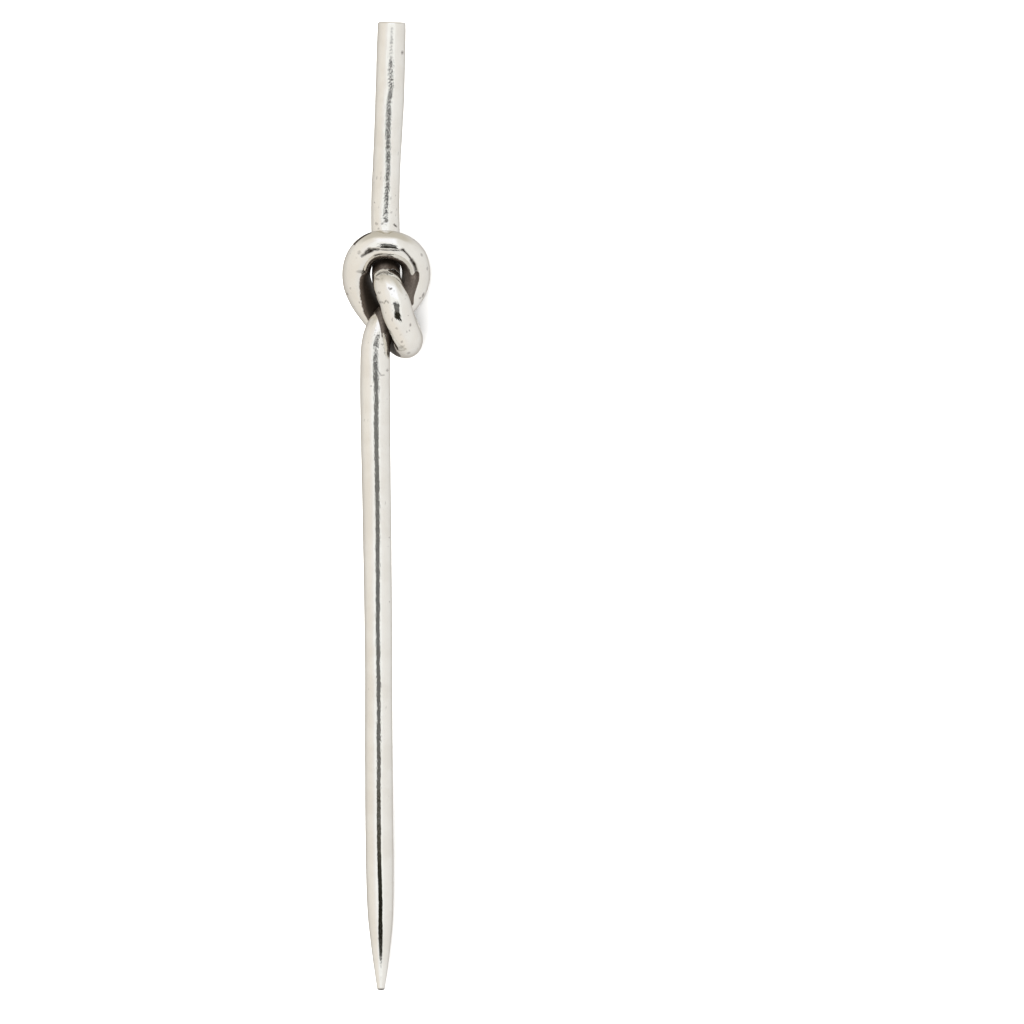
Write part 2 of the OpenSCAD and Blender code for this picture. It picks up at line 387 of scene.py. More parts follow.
# Where oxide is kept, or rubbed off where less than 0: half width in mm, amount, the stretch of rod in mm
# from the butt, and the pixels that it follows
FRONT_RUBS = [
    # The ring's right inner side, its outer rim at the upper left and the underside of its front
    (0.32, 0.55, (59, 68), [(417.2, 274.0), (416.8, 279.0), (413.8, 287.0), (411.4, 295.0), (410.6, 303.0)]),
    (0.20, -0.60, (57, 66), [(399.0, 255.5), (404.0, 257.5), (408.4, 262.5), (410.6, 268.0), (411.8, 272.5)]),
    (0.09, 1.2, (52, 58.5), [(354.2, 244.4), (358.0, 240.6), (361.4, 237.9), (366.4, 234.6), (370.5, 232.6)]),
    (0.16, -0.50, (54, 59), [(370.0, 261.0), (376.0, 258.0), (382.0, 257.0), (388.0, 256.8)]),
    # The ring's left side is bright down to the dirty line
    (0.42, -0.60, (50, 57), [(370.0, 259.0), (366.5, 264.0), (365.0, 270.0)]),
    # The front strand's left edge and the lobe's side are bright
    (0.26, -0.60, (28, 38.5), [
        (374.0, 283.0), (377.5, 298.0), (382.0, 312.0), (387.5, 323.0), (392.0, 334.0),
    ]),
    (0.26, -0.50, (36, 41), [(391.0, 331.0), (393.5, 338.0), (396.0, 343.5), (399.0, 349.0)]),
    # The rod is darkened a little below the arch that it comes out of, as painted shade under the arch
    (0.35, 0.16, (26, 32), [(372.5, 272.5), (377.0, 270.4), (381.0, 269.2), (385.0, 268.9), (390.0, 269.6)]),
    # The neck's head is stained on its right
    (0.22, 0.45, (67, 72), [(376.5, 311.0), (380.0, 317.0), (382.5, 324.0), (384.6, 331.0)]),
    (0.12, 0.26, (68, 73), [(379.6, 318.0), (380.8, 326.0), (381.8, 337.0)]),
]
# Where the oxide is paler brown: thin oxide, and on the ring's right inner side painted light where more
# light falls. Half width in mm, share, the stretch of rod and the pixels
FRONT_PALES_AND_LIT = [
    # Painted light: the oxide on the ring's right inner side is paled where more light falls on it
    (0.60, 0.9, (59, 68), [(405.0, 276.0), (407.5, 288.0), (409.0, 298.0)]),
    (0.45, 0.8, (59, 68), [(413.5, 278.0), (412.0, 288.0), (410.0, 298.0)]),
    (0.24, 1.0, (27, 32), [(382.0, 267.0), (386.0, 266.5)]),
    (0.30, 0.8, (67, 73), [(380.5, 314.0), (381.5, 324.0), (382.0, 336.0)]),
]
# Worked spots: x and y in pixels, reaches across and up in mm, the stretch of rod, tilt to the right and up,
# and bends of the skin (height = tilt . (x, y) + bend . (x x, x y, y y), with x and y in mm from the spot)
FRONT_SPOTS = [
    (389.0, 246.0, (2.2, 0.9), (54, 62), (0.0, 0.0), (0.0, 0.0, 0.09)),
    (397.8, 316.7, (2.8, 2.8), (30, 39.5), (-0.085, 0.020), (0.020, 0.120, 0.010)),
]
# The point's blunt end is painted dark all over, as painted shade. The painted shade sets in over this much
# of its edge, in mm.
POINT_SHADE_EDGE = 0.1


def on_stretch(seen, where, stretch):
    """Which seen points lie between two distances from the butt."""
    start, end = stretch
    return seen & ((where > start) & (where < end))[:, None]


def bell(points, pixels, width):
    """A bell-shaped section across a line through pixels of the photograph: exp of minus (d / width) squared,
    with d the distance in mm to the line, seen from the front."""
    line = from_photo(pixels)
    nearest = np.full(points.shape[:-1], np.inf)
    for a, b in zip(line[:-1], line[1:]):
        t = np.clip(((points[..., :2] - a) @ (b - a)) / ((b - a) @ (b - a)), 0, 1)
        nearest = np.minimum(nearest, np.linalg.norm(points[..., :2] - a - t[..., None] * (b - a), axis=-1))
    return np.exp(-((nearest / width) ** 2))


def front_marks(points, where, seen):
    """How deep the marks seen from the front are, in mm, how dark, how much oxide is kept or rubbed off, and
    how pale it is. A pit is an elliptic bowl and a fold a bell-shaped groove."""
    depth, dark, rub, pale = np.zeros((4, *seen.shape))
    places = from_photo([pit[:2] for pit in FRONT_PITS])
    for (x, y), (_, _, long, wide, turn, darkness) in zip(places, FRONT_PITS):
        dx, dy = points[..., 0] - x, points[..., 1] - y
        c, s = np.cos(np.radians(turn)), -np.sin(np.radians(turn))
        u = (dx * c + dy * s) / (long / 2 / PIXELS_PER_MM)
        v = (dy * c - dx * s) / (wide / 2 / PIXELS_PER_MM)
        bowl = seen * np.clip(BOWL_RIM - (u**2 + v**2), 0, 1)
        depth = np.maximum(depth, BOWL_DEPTH * darkness**2 * bowl)
        dark = np.maximum(dark, np.minimum(PIT_STAIN * darkness, 1) * bowl)
    for width, deep, darkness, pixels in FRONT_FOLDS:
        groove = seen * bell(points, pixels, width)
        depth = np.maximum(depth, deep * groove)
        dark = np.maximum(dark, np.clip(FOLD_STAIN * darkness * groove, 0, 1))
    for width, amount, stretch, pixels in FRONT_RUBS:
        rub += amount * on_stretch(seen, where, stretch) * bell(points, pixels, width)
    for width, share, stretch, pixels in FRONT_PALES_AND_LIT:
        pale = np.maximum(pale, share * on_stretch(seen, where, stretch) * bell(points, pixels, width))
    return depth, dark, rub, pale


def worked_spots(points, where, seen):
    """Height of the spots that a tool left flatter or tilted: a quadratic under a bell of its reach."""
    height = np.zeros(seen.shape)
    places = from_photo([spot[:2] for spot in FRONT_SPOTS])
    for (x, y), (_, _, (across, up), stretch, tilt, bend) in zip(places, FRONT_SPOTS):
        dx, dy = points[..., 0] - x, points[..., 1] - y
        form = tilt[0] * dx + tilt[1] * dy + bend[0] * dx**2 + bend[1] * dx * dy + bend[2] * dy**2
        within = np.exp(-(((dx / across) ** 2 + (dy / up) ** 2) ** 2))
        height += on_stretch(seen, where, stretch) * within * form
    return height


def out_of_round(points, out, where):
    """Height of the slow departures from a round section.

    On the runs it is lean times the outward arrow's x and z, which moves the most forward line sideways by
    the lean and leaves both edges. A swelling is its height times a bell along the rod, times the squared
    cosine to its side."""
    on_run = np.clip(np.maximum(HANDLE_RUN_END - where, where - SHANK_RUN_START) / LEAN_FADE, 0, 1)[:, None]
    lean = np.interp(points[..., 1], *zip(*LEAN_OF_SECTION))
    height = on_run * lean * out[..., 0] * out[..., 2]
    for middle, side, reach, high in SWELLINGS:
        along = np.exp(-(((where - middle) / reach) ** 2))[:, None]
        height += high * along * np.clip(out @ np.array(side, float), 0, 1) ** 2
    return height


# Casting pits at random places: how many, their seed, their radii in mm with a second spread, and strengths
PIT_COUNT = 190
PIT_SEED = 11
PIT_RADII, PIT_SPREAD = (0.05, 0.12), (0.6, 1.15)
PIT_STRENGTHS = (0.15, 0.5)
# Depth in mm of a pit of strength 1, the square of its reach, counted in its radius, and the rings to each
# side that it may touch
PIT_DEPTH = 0.03
PIT_RIM = 1.3
PIT_RINGS = 6
# Its outline waves by this share of the radius, at so many radians to a radius in the drawing's x and y
PIT_WAVE, PIT_WAVES_X, PIT_WAVES_Y = 0.35, 9, 7
# Pits lie thick up to this far from the knot's middle, thin out past it, and are this rare along the runs
PITTED_REACH, PITTED_FADE, PITTED_RUNS = 27, 7, 0.05
# None lies this close to the butt and to the point, in mm
CLEAN_BUTT, CLEAN_POINT = 0.5, 1.0


def casting_pits(points, where):
    """Depth of small casting pits at random places, as a share: many near the knot, few along the runs."""
    rng = np.random.default_rng(PIT_SEED)
    rings, steps = points.shape[:2]
    near_knot = np.exp(-(np.clip(np.abs(where - KNOT_MIDDLE) - PITTED_REACH, 0, None) / PITTED_FADE) ** 2)
    weight = (PITTED_RUNS + near_knot) * np.gradient(where)
    weight[where < CLEAN_BUTT] = 0
    weight[where > where[-1] - CLEAN_POINT] = 0
    ring = rng.choice(rings, PIT_COUNT, p=weight / weight.sum())
    step = rng.integers(0, steps, PIT_COUNT)
    size = rng.uniform(*PIT_RADII, PIT_COUNT) * rng.uniform(*PIT_SPREAD, PIT_COUNT)
    strength = rng.uniform(*PIT_STRENGTHS, PIT_COUNT)
    depth = np.zeros((rings, steps))
    for r, a, radius, share in zip(ring, step, size, strength):
        low, high = max(r - PIT_RINGS, 0), min(r + PIT_RINGS + 1, rings)
        gap = points[low:high] - points[r, a]
        wave = np.sin(PIT_WAVES_X * gap[..., 0] / radius) * np.sin(PIT_WAVES_Y * gap[..., 1] / radius)
        reach = radius * (1 + PIT_WAVE * wave)
        bowl = share * np.clip(PIT_RIM - np.sum(gap**2, -1) / reach**2, 0, 1)
        depth[low:high] = np.maximum(depth[low:high], bowl)
    return depth


def grid_mesh(name, grid, poles):
    """A closed skin from a grid of rings and a pole at each end: quads between rings and triangles to the
    poles."""
    rings, steps = grid.shape[:2]
    points = np.vstack([grid.reshape(-1, 3), poles])
    i = np.arange(rings - 1)[:, None] * steps
    k = np.arange(steps)[None]
    nxt = (k + 1) % steps
    quads = np.stack([i + k, i + nxt, i + steps + nxt, i + steps + k], -1).reshape(-1, 4)
    first, last = rings * steps, (rings - 1) * steps
    k, nxt = k[0], nxt[0]
    start = np.stack([np.full(steps, first), nxt, k], -1)
    end = np.stack([np.full(steps, first + 1), last + k, last + nxt], -1)
    loops = np.concatenate([quads.ravel(), start.ravel(), end.ravel()])
    sizes = np.concatenate([np.full(len(quads), 4), np.full(2 * steps, 3)])
    starts = np.concatenate([[0], np.cumsum(sizes)[:-1]])
    mesh = bpy.data.meshes.new(name)
    mesh.vertices.add(len(points))
    mesh.vertices.foreach_set("co", points.astype(np.float32).ravel())
    mesh.loops.add(len(loops))
    mesh.loops.foreach_set("vertex_index", loops.astype(np.int32))
    mesh.polygons.add(len(sizes))
    mesh.polygons.foreach_set("loop_start", starts.astype(np.int32))
    mesh.polygons.foreach_set("use_smooth", np.ones(len(sizes), bool))
    mesh.update(calc_edges=True)
    mesh.validate()
    return mesh


def store(mesh, name, grid, poles=(0, 0)):
    """Stores a number, or an arrow of three, for each point of a skin and for its two poles."""
    kind, field = ("FLOAT", "value") if grid.ndim == 2 else ("FLOAT_VECTOR", "vector")
    values = np.concatenate([grid.ravel(), np.ravel(poles)]).astype(np.float32)
    mesh.attributes.new(name, kind, "POINT").data.foreach_set(field, values)


def unrolled(radius, where):
    """The rod drawn out straight: radius (cos a, sin a) across and the distance from the butt along."""
    return np.stack(np.broadcast_arrays(
        radius[:, None] * np.cos(ROUND), radius[:, None] * np.sin(ROUND), where[:, None]
    ), -1)


def in_scene(name, data):
    """Puts a mesh, a lamp or a camera into the scene as an object at the origin."""
    thing = bpy.data.objects.new(name, data)
    bpy.context.scene.collection.objects.link(thing)
    return thing


def knotted_rod():
    """The whole pick as one skin: the bent rod with its waves, swellings, spots and marks.

    Each point of the round rod is lifted along its outward arrow by the sum of their heights."""
    points, out, where, centre, radius = rod_grid()
    seen = seen_from_front(points, out, where)
    depth, dark, rub, pale = front_marks(points, where, seen)
    stray = casting_pits(points, where)
    calm = np.interp(where, *zip(*CALM))[:, None]
    work = calm * (waves(points, *BROAD_WAVES) + waves(points, *SMALL_WAVES))
    form = out_of_round(points, out, where) + worked_spots(points, where, seen)
    on_side = np.clip(np.minimum(where, where[-1] - where) / END_FADE, 0, 1)[:, None]
    lift = (work + form) * on_side - depth - PIT_DEPTH * stray * on_side
    grid = in_frame(points + lift[..., None] * out)
    mesh = grid_mesh("knotted_rod", grid, in_frame(centre[[0, -1]]))
    # Painted shade: the point's blunt end is darkened all over, and this goes into the marks
    point_shade = np.clip((where - where[-1] + POINT_EDGE) / POINT_SHADE_EDGE, 0, 1)[:, None]
    store(mesh, "shelter", shelter(points, out, where) + rub)
    store(mesh, "pale", pale)
    store(mesh, "mark", np.maximum(np.maximum(dark, point_shade), stray))
    store(mesh, "unrolled", unrolled(radius, where), [(0, 0, where[0]), (0, 0, where[-1])])
    return in_scene("knotted_rod", mesh)


def add_node(tree, kind, inputs=(), **settings):
    """Adds a shader node. An input, by its name or place, is a number, a colour or another node's socket."""
    node = tree.nodes.new("ShaderNode" + kind)
    for name, value in settings.items():
        setattr(node, name, value)
    for name, value in dict(inputs).items():
        if isinstance(value, bpy.types.NodeSocket):
            tree.links.new(value, node.inputs[name])
        else:
            node.inputs[name].default_value = value
    return node


def maths(tree, operation, a, b=0.0):
    """One sum, product or the like of two values."""
    return add_node(tree, "Math", {0: a, 1: b}, operation=operation).outputs[0]


def ramp(tree, value, low, high, start=0.0, end=1.0):
    """Runs smoothly from start to end while the value goes from low to high."""
    node = add_node(
        tree, "MapRange",
        {"Value": value, "From Min": low, "From Max": high, "To Min": start, "To Max": end},
        interpolation_type="SMOOTHSTEP",
    )
    return node.outputs["Result"]


def mix_colours(tree, share, a, b):
    """Colour a where the share is 0 and colour b where it is 1."""
    return add_node(tree, "Mix", {0: share, 6: a, 7: b}, data_type="RGBA").outputs[2]


def noise(tree, place, scale, detail=2.0, rough=0.5, warp=0.0):
    """Noise with that many waves to the unit of its place."""
    node = add_node(
        tree, "TexNoise",
        {"Vector": place, "Scale": scale, "Detail": detail, "Roughness": rough, "Distortion": warp},
    )
    return node.outputs["Fac"]


def lengthwise(tree, place, stretch):
    """The unrolled rod, its length drawn in to that share, so that patterns on it run along the rod."""
    node = add_node(tree, "VectorMath", {0: place, 1: (1.0, 1.0, stretch)}, operation="MULTIPLY")
    return node.outputs[0]


def spread(tree, value, texture, amount):
    """Pushes a value up and down by a texture, so that its edge runs ragged."""
    node = add_node(tree, "Math", {0: texture, 1: amount, 2: -amount / 2}, operation="MULTIPLY_ADD")
    return maths(tree, "ADD", value, node.outputs[0])


def bump(tree, height, depth, strength=1.0, below=None, **settings):
    """Relief of that depth in mm, on top of the relief below it."""
    inputs = {"Strength": strength, "Distance": depth * MM, "Height": height}
    if below is not None:
        inputs["Normal"] = below
    return add_node(tree, "Bump", inputs, **settings).outputs[0]


def colour(red, green, blue):
    """A colour with full cover."""
    return (red, green, blue, 1.0)


# Silver in its duller and its brighter clouds, and at grazing angles
SILVER_DULL, SILVER_BRIGHT = colour(0.82, 0.805, 0.765), colour(0.865, 0.86, 0.83)
SILVER_GRAZED = colour(0.74, 0.715, 0.67)
# Oxide in its darker and lighter brush marks, where it is thick, where it is thin or paled as painted light,
# and in the deepest places. The deepest tone also paints shade on the point's blunt end.
OXIDE_DARK, OXIDE_LIGHT = colour(0.034, 0.025, 0.018), colour(0.11, 0.085, 0.067)
THIN_AND_LIT_DARK, THIN_AND_LIT_LIGHT = colour(0.09, 0.075, 0.063), colour(0.19, 0.16, 0.137)
DEEPEST_OXIDE_AND_POINT_SHADE = colour(0.020, 0.014, 0.0095)
OXIDE_ROUGHNESS = 0.5
# Patterns in the metal: waves to a metre, detail, how rough the detail is, and warp
CLOUDS, GRAIN, RAGGED = (260, 3, 0.6), (2600, 5, 0.65), (1500, 6, 0.7, 0.4)
# Patterns on the unrolled rod, with waves to a millimetre, and the shares that its length is drawn in to
STREAKS, BRUSHED, SPECKLE = (3.6, 1, 0.4), (16.0, 3, 0.6), (8.0, 1, 0.4)
BRUSH_DRAWN, SPECKLE_DRAWN = 0.25, 0.45
# The shelter at which oxide sets in, how ragged that edge runs, and the shelter and mark at which it is deep
OXIDE_EDGE, OXIDE_RAGGED = (0.41, 0.47), 0.24
DEEP_SHELTER, DEEP_MARK = (0.50, 0.80), (0.6, 0.9, 0.0, 0.95)
# Scattered specks: cells to a metre, patches that hold specks and their edge, size in a cell and darkness
SPECK_CELLS, SPECK_PATCHES, SPECK_EDGE = 1250, (330, 2), (0.54, 0.68)
SPECK_SIZE, SPECK_DARK = 0.15, 0.35
# How much of a mark's darkness the ragged pattern leaves, and where brush marks and clouds turn light
MARK_LEFT, BRUSH_EDGE, CLOUD_EDGE = (0.32, 0.60, 0.65, 1.0), (0.3, 0.72), (0.35, 0.65)
# The silver's roughness by its grain, the share of it where the rod is smooth, and how metallic oxide stays
SILVER_ROUGHNESS, SMOOTH_SHARE, OXIDE_METALLIC = (0.3, 0.7, 0.10, 0.17), 0.5, 0.3
# Depths of the relief in mm: streaks along the rod, speckle, polishing grain with its strength, and pits
STREAKS_DEEP, SPECKLE_DEEP, GRAIN_DEEP, PITS_DEEP = 0.022, 0.017, 0.003, 0.020
GRAIN_STRENGTH = 0.6
# How roughly the rod is worked: from and to, in mm from the butt, and the share before and after. Those of
# the handle and the neck add up, and those of the butt and of the shank's two parts multiply the sum.
ROUGH_HANDLE, ROUGH_NECK = (24, 28, 0.85, 0.4), (66, 70, 0.0, 0.5)
SMOOTHER_PARTS = [(1.5, 4.5, 0.25, 1.0), (76, 82, 1.0, 0.6), (112, 128, 1.0, 0.35)]


def polished_silver():
    """Warm polished silver with dark oxide left in the knot's recesses and in its pits, painted shade on the
    point's blunt end, and painted light that pales the oxide on the ring's right inner side.
    """
    material = bpy.data.materials.new("polished_silver")
    material.use_nodes = True
    tree = material.node_tree
    shader = tree.nodes["Principled BSDF"]
    place = add_node(tree, "TexCoord").outputs["Object"]
    sheltered = add_node(tree, "Attribute", attribute_name="shelter").outputs["Fac"]
    marked = add_node(tree, "Attribute", attribute_name="mark").outputs["Fac"]
    pale = add_node(tree, "Attribute", attribute_name="pale").outputs["Fac"]
    straight = add_node(tree, "Attribute", attribute_name="unrolled").outputs["Vector"]
    from_butt = add_node(tree, "SeparateXYZ", {0: straight}).outputs["Z"]

    clouds, grain, ragged = (noise(tree, place, *pattern) for pattern in (CLOUDS, GRAIN, RAGGED))
    drawn_in = lengthwise(tree, straight, BRUSH_DRAWN)
    streaks, brushed = (noise(tree, drawn_in, *pattern) for pattern in (STREAKS, BRUSHED))
    speckle = noise(tree, lengthwise(tree, straight, SPECKLE_DRAWN), *SPECKLE)

    rough_share = maths(tree, "ADD", *(ramp(tree, from_butt, *part) for part in (ROUGH_HANDLE, ROUGH_NECK)))
    for part in SMOOTHER_PARTS:
        rough_share = maths(tree, "MULTIPLY", rough_share, ramp(tree, from_butt, *part))

    # Oxide where other strands shelter the skin, and in marks and a few scattered specks. The marks also
    # carry the painted shade on the point's blunt end.
    oxide = ramp(tree, spread(tree, sheltered, ragged, OXIDE_RAGGED), *OXIDE_EDGE)
    cells = add_node(tree, "TexVoronoi", {"Vector": place, "Scale": SPECK_CELLS, "Randomness": 1.0})
    patches = ramp(tree, noise(tree, place, *SPECK_PATCHES), *SPECK_EDGE)
    specks = maths(tree, "LESS_THAN", cells.outputs["Distance"], maths(tree, "MULTIPLY", patches, SPECK_SIZE))
    # Pits, folds and specks, and the painted shade on the point's blunt end
    pits = maths(
        tree, "MAXIMUM",
        maths(tree, "MULTIPLY", marked, ramp(tree, ragged, *MARK_LEFT)),
        maths(tree, "MULTIPLY", specks, SPECK_DARK),
    )
    dark = maths(tree, "MAXIMUM", oxide, pits)

    silver = mix_colours(tree, ramp(tree, clouds, *CLOUD_EDGE), SILVER_DULL, SILVER_BRIGHT)
    brush_marks = ramp(tree, brushed, *BRUSH_EDGE)
    oxide_and_painted_light = mix_colours(tree, brush_marks, OXIDE_DARK, OXIDE_LIGHT)
    deep = maths(tree, "MAXIMUM", ramp(tree, sheltered, *DEEP_SHELTER), ramp(tree, marked, *DEEP_MARK))
    oxide_and_painted_light = mix_colours(tree, deep, oxide_and_painted_light, DEEPEST_OXIDE_AND_POINT_SHADE)
    # Paler oxide: thin oxide, and painted light on the ring's right inner side
    oxide_and_painted_light = mix_colours(tree, pale, oxide_and_painted_light, mix_colours(tree, brush_marks, THIN_AND_LIT_DARK, THIN_AND_LIT_LIGHT))
    tree.links.new(mix_colours(tree, dark, silver, oxide_and_painted_light), shader.inputs["Base Color"])

    worked = ramp(tree, rough_share, 0.0, 1.0, SMOOTH_SHARE, 1.0)
    silver_roughness = maths(tree, "MULTIPLY", ramp(tree, grain, *SILVER_ROUGHNESS), worked)
    roughness = add_node(tree, "Mix", {0: dark, 2: silver_roughness, 3: OXIDE_ROUGHNESS}).outputs[0]
    tree.links.new(roughness, shader.inputs["Roughness"])
    tree.links.new(ramp(tree, oxide, 0.0, 1.0, 1.0, OXIDE_METALLIC), shader.inputs["Metallic"])
    shader.inputs["Specular Tint"].default_value = SILVER_GRAZED

    relief = bump(tree, maths(tree, "MULTIPLY", streaks, rough_share), STREAKS_DEEP)
    relief = bump(tree, maths(tree, "MULTIPLY", speckle, rough_share), SPECKLE_DEEP, below=relief)
    relief = bump(tree, grain, GRAIN_DEEP, GRAIN_STRENGTH, below=relief)
    relief = bump(tree, pits, PITS_DEEP, below=relief, invert=True)
    tree.links.new(relief, shader.inputs["Normal"])
    return material


# How far the camera and the dark card stand from the pick, and how far the camera sees, in metres, and the
# width of its film in mm
LENS_DISTANCE = 4.0
CARD_DISTANCE = 0.3
LENS_REACH = 100.0
FILM_WIDTH = 36.0


def facing_pick(distance):
    """Where a thing stands that looks squarely at the photograph's middle from that far, in metres."""
    up = np.array([SHANK_LEAN, 1.0, 0.0])
    up = up / np.linalg.norm(up)
    right = np.array([up[1], -up[0], 0.0])
    turn = np.array([right, up, [0.0, 0.0, 1.0]]) @ AXES
    centre = from_photo([[PHOTO_PIXELS / 2, PHOTO_PIXELS / 2]])[0]
    matrix = Matrix.Identity(4)
    for k in range(3):
        matrix.col[k][:3] = turn[k]
    matrix.translation = in_frame(np.array([*centre, 0.0])) + distance * turn[2]
    return matrix


def photo_camera():
    """A long lens at the photograph's viewing angle, which gives a drawn millimetre its nine pixels."""
    data = bpy.data.cameras.new("photo_camera")
    picture_width = PHOTO_PIXELS / PIXELS_PER_MM * MM
    data.sensor_width = FILM_WIDTH
    data.lens = FILM_WIDTH * LENS_DISTANCE / picture_width
    data.clip_end = LENS_REACH
    camera = in_scene("photo_camera", data)
    bpy.context.scene.camera = camera
    camera.matrix_world = facing_pick(LENS_DISTANCE)


# The dark card round the lens, seen only in the silver. Its rows: height over the picture's middle and half
# width, in mm, and the tone
BLACK = (0.014, 0.013, 0.008)
CARD_ROWS = [
    (-133, 0, BLACK), (-132.5, 104, BLACK), (-130, 124, BLACK), (-122, 130, BLACK), (-112, 122, BLACK),
    (-102, 112, (0.022, 0.021, 0.014)), (-90, 104, (0.020, 0.019, 0.012)), (-70, 97, BLACK),
    (-56, 95, (0.020, 0.019, 0.013)), (-50, 93, (0.026, 0.025, 0.018)), (-47, 92, (0.034, 0.032, 0.023)),
    (-43, 91, (0.050, 0.047, 0.035)), (-40, 90, (0.072, 0.066, 0.050)), (-37.5, 90, (0.105, 0.099, 0.080)),
    (-35, 90, (0.138, 0.133, 0.115)), (-31, 90, (0.163, 0.157, 0.148)), (-24, 90, (0.168, 0.168, 0.162)),
    (-20, 90, (0.150, 0.148, 0.141)), (-17, 89, (0.190, 0.198, 0.188)), (-14, 89, (0.150, 0.147, 0.150)),
    (-8, 90, (0.130, 0.129, 0.133)), (-4, 91, (0.16, 0.16, 0.157)), (0, 92, (0.225, 0.226, 0.216)),
    (5.4, 94, (0.26, 0.262, 0.25)), (9, 95, (0.25, 0.25, 0.235)), (12, 96, (0.195, 0.195, 0.183)),
    (17, 100, (0.16, 0.16, 0.153)), (24, 106, (0.115, 0.115, 0.112)), (31, 112, (0.085, 0.086, 0.085)),
    (36, 116, (0.075, 0.077, 0.077)), (40, 118, (0.085, 0.088, 0.087)), (43, 116, (0.12, 0.124, 0.123)),
    (46, 108, (0.22, 0.225, 0.223)), (49, 98, (0.44, 0.442, 0.44)), (52, 88, (0.56, 0.56, 0.555)),
    (56, 76, (0.57, 0.57, 0.565)), (62, 58, (0.60, 0.60, 0.595)), (67, 40, (0.70, 0.70, 0.70)),
    (71, 14, (0.90, 0.90, 0.90)),
]
CARD_COLUMNS = 21


def lens_card():
    """The dark card, as a grid: x = u times its half width at that height, with u from -1 to 1."""
    heights = np.array([row[0] for row in CARD_ROWS], float)
    widths = np.array([row[1] for row in CARD_ROWS], float)
    u = np.linspace(-1, 1, CARD_COLUMNS)
    points = np.stack(np.broadcast_arrays(widths[:, None] * u, heights[:, None], 0.0), -1)
    turn = np.array(facing_pick(CARD_DISTANCE))
    places = points.reshape(-1, 3) * MM @ turn[:3, :3].T + turn[:3, 3]
    i = (np.arange(len(CARD_ROWS) - 1)[:, None] * CARD_COLUMNS + np.arange(CARD_COLUMNS - 1)).ravel()
    faces = np.stack([i, i + 1, i + CARD_COLUMNS + 1, i + CARD_COLUMNS], -1)
    mesh = bpy.data.meshes.new("lens_card")
    mesh.from_pydata(places.tolist(), [], faces.tolist())
    tones = np.repeat([colour(*row[2]) for row in CARD_ROWS], CARD_COLUMNS, axis=0).astype(np.float32)
    mesh.attributes.new("tone", "FLOAT_COLOR", "POINT").data.foreach_set("color", tones.ravel())
    material = bpy.data.materials.new("card_black")
    material.use_nodes = True
    tree = material.node_tree
    tree.nodes.clear()
    tone = add_node(tree, "Attribute", attribute_name="tone").outputs["Color"]
    glow = add_node(tree, "Emission", {"Color": tone}).outputs[0]
    add_node(tree, "OutputMaterial", {"Surface": glow})
    mesh.materials.append(material)
    card = in_scene("lens_card", mesh)
    card.visible_camera = False
    card.visible_diffuse = False
    card.visible_shadow = False
    card.visible_transmission = False


# The tabletop: half its side in metres, its colour and roughness
FLOOR_SIZE = 8.0
FLOOR_WHITE = colour(0.93, 0.93, 0.925)
FLOOR_ROUGHNESS = 0.8


def pale_floor():
    """A wide pale tabletop at the height that the pick rests on."""
    corners = FLOOR_SIZE * np.array([(-1, -1, 0), (1, -1, 0), (1, 1, 0), (-1, 1, 0)])
    mesh = bpy.data.meshes.new("floor")
    mesh.from_pydata(corners.tolist(), [], [(0, 1, 2, 3)])
    material = bpy.data.materials.new("floor_white")
    material.use_nodes = True
    shader = material.node_tree.nodes["Principled BSDF"]
    shader.inputs["Base Color"].default_value = FLOOR_WHITE
    shader.inputs["Roughness"].default_value = FLOOR_ROUGHNESS
    shader.inputs["Specular IOR Level"].default_value = 0.0
    mesh.materials.append(material)
    floor = in_scene("floor", mesh)
    floor.visible_glossy = False


# The lamp's strength, and how wide it is, in degrees
FILL_STRENGTH = 0.9
FILL_WIDTH = 25


def fill_light():
    """A weak broad lamp that shines the way the lens looks and lifts the floor's tone round the pick."""
    data = bpy.data.lights.new("fill_light", "SUN")
    data.energy = FILL_STRENGTH
    data.angle = np.radians(FILL_WIDTH)
    lamp = in_scene("fill_light", data)
    lamp.matrix_world = facing_pick(1.0)
    lamp.visible_glossy = False


# The tent's tone by the angle from the lens, in degrees, on the left and on the right
TENT_FRONT = (1.06, 1.06, 1.04)
TENT_LEFT = [
    (28, TENT_FRONT), (39, (0.97, 0.935, 0.90)), (62, (0.94, 0.89, 0.82)), (95, (0.89, 0.845, 0.78)),
    (124, (0.775, 0.745, 0.705)), (146, (0.67, 0.64, 0.61)), (175, (0.57, 0.54, 0.51)),
]
TENT_RIGHT = [
    (28, TENT_FRONT), (39, (0.955, 0.94, 0.915)), (62, (0.925, 0.905, 0.875)), (95, (0.885, 0.865, 0.84)),
    (124, (0.83, 0.815, 0.80)), (146, (0.74, 0.72, 0.71)), (175, (0.62, 0.59, 0.57)),
]
# The two sides blend where a direction points to the right by between these shares
SIDES_MEET = (-0.3, 0.3)
# Its dimmer end beyond the butt: tone, and where it sets in by the share to the handle and the angle
TENT_END = colour(0.62, 0.58, 0.50)
END_RISE, END_ANGLE = (0.45, 0.80), (60, 88, 0.0, 0.9)
# The bright cool box between that end and the lens: tone, and sides, back edge, foot and top by such shares
BRIGHT_BOX = colour(1.16, 1.17, 1.22)
BOX_SIDES, BOX_BACK = (0.28, 0.50, 1.0, 0.0), (0.0, 0.1)
BOX_FOOT, BOX_TOP = (0.20, 0.32), (0.72, 0.90, 1.0, 0.0)
# What matt things and the camera see of the tent
MATT_WHITE = colour(2.25, 2.25, 2.25)
CAMERA_WHITE = colour(0.97, 0.97, 0.97)


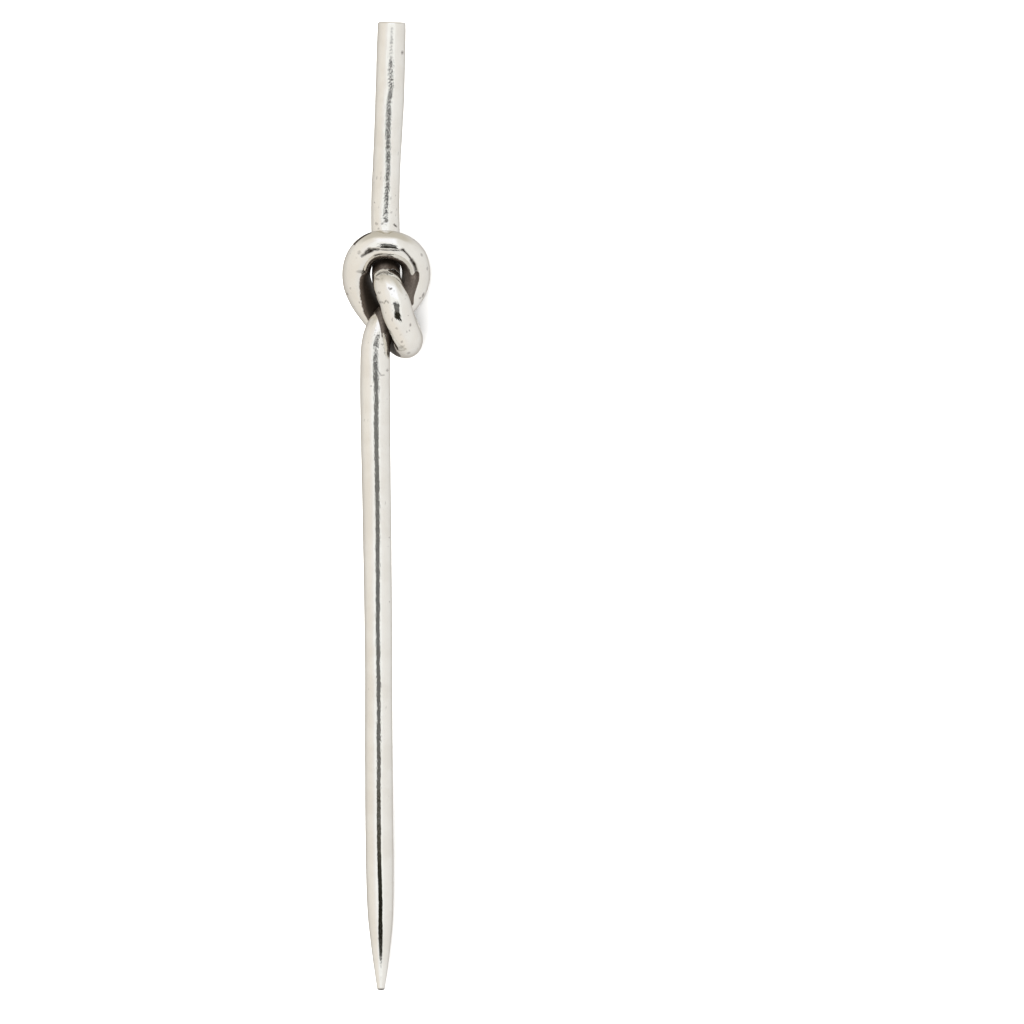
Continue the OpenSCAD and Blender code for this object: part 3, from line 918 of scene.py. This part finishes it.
def light_tent():
    """A soft white tent all round: bright round the lens, with a brighter cool box above it in the picture,
    and warmer and dimmer to the sides and behind.

    A direction is told by its angle from the lens and by how far it points to the right and to the handle.
    Matt things see it plain and bright, as a studio's overexposed white ground does."""
    world = bpy.data.worlds.new("light_tent")
    bpy.context.scene.world = world
    world.use_nodes = True
    tree = world.node_tree
    background = tree.nodes["Background"]
    way = add_node(tree, "TexCoord").outputs["Generated"]
    aside, rise, facing = (
        add_node(tree, "VectorMath", {0: way, 1: tuple(axis)}, operation="DOT_PRODUCT").outputs["Value"]
        for axis in AXES
    )
    angle = maths(tree, "DEGREES", maths(tree, "ARCCOSINE", facing))
    sides = []
    for stops in (TENT_LEFT, TENT_RIGHT):
        tone = colour(*stops[0][1])
        for (start, _), (end, shade) in zip(stops[:-1], stops[1:]):
            tone = mix_colours(tree, ramp(tree, angle, start, end), tone, colour(*shade))
        sides.append(tone)
    tent = mix_colours(tree, ramp(tree, aside, *SIDES_MEET), *sides)
    beyond_butt = maths(tree, "MULTIPLY", ramp(tree, rise, *END_RISE), ramp(tree, angle, *END_ANGLE))
    tent = mix_colours(tree, beyond_butt, tent, TENT_END)
    in_width = ramp(tree, maths(tree, "ABSOLUTE", aside), *BOX_SIDES)
    in_height = maths(tree, "MULTIPLY", ramp(tree, rise, *BOX_FOOT), ramp(tree, rise, *BOX_TOP))
    box = maths(tree, "MULTIPLY", maths(tree, "MULTIPLY", in_width, in_height), ramp(tree, facing, *BOX_BACK))
    tent = mix_colours(tree, box, tent, BRIGHT_BOX)
    rays = add_node(tree, "LightPath").outputs
    tent = mix_colours(tree, rays["Is Diffuse Ray"], tent, MATT_WHITE)
    tent = mix_colours(tree, rays["Is Camera Ray"], tent, CAMERA_WHITE)
    tree.links.new(tent, background.inputs["Color"])
    background.inputs["Strength"].default_value = 1.0


photo_camera()
pale_floor()
lens_card()
fill_light()
light_tent()
bpy.context.scene.view_settings.view_transform = "Standard"

rod = knotted_rod()
rod.data.materials.append(polished_silver())
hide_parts("pick")
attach(rod, "root")
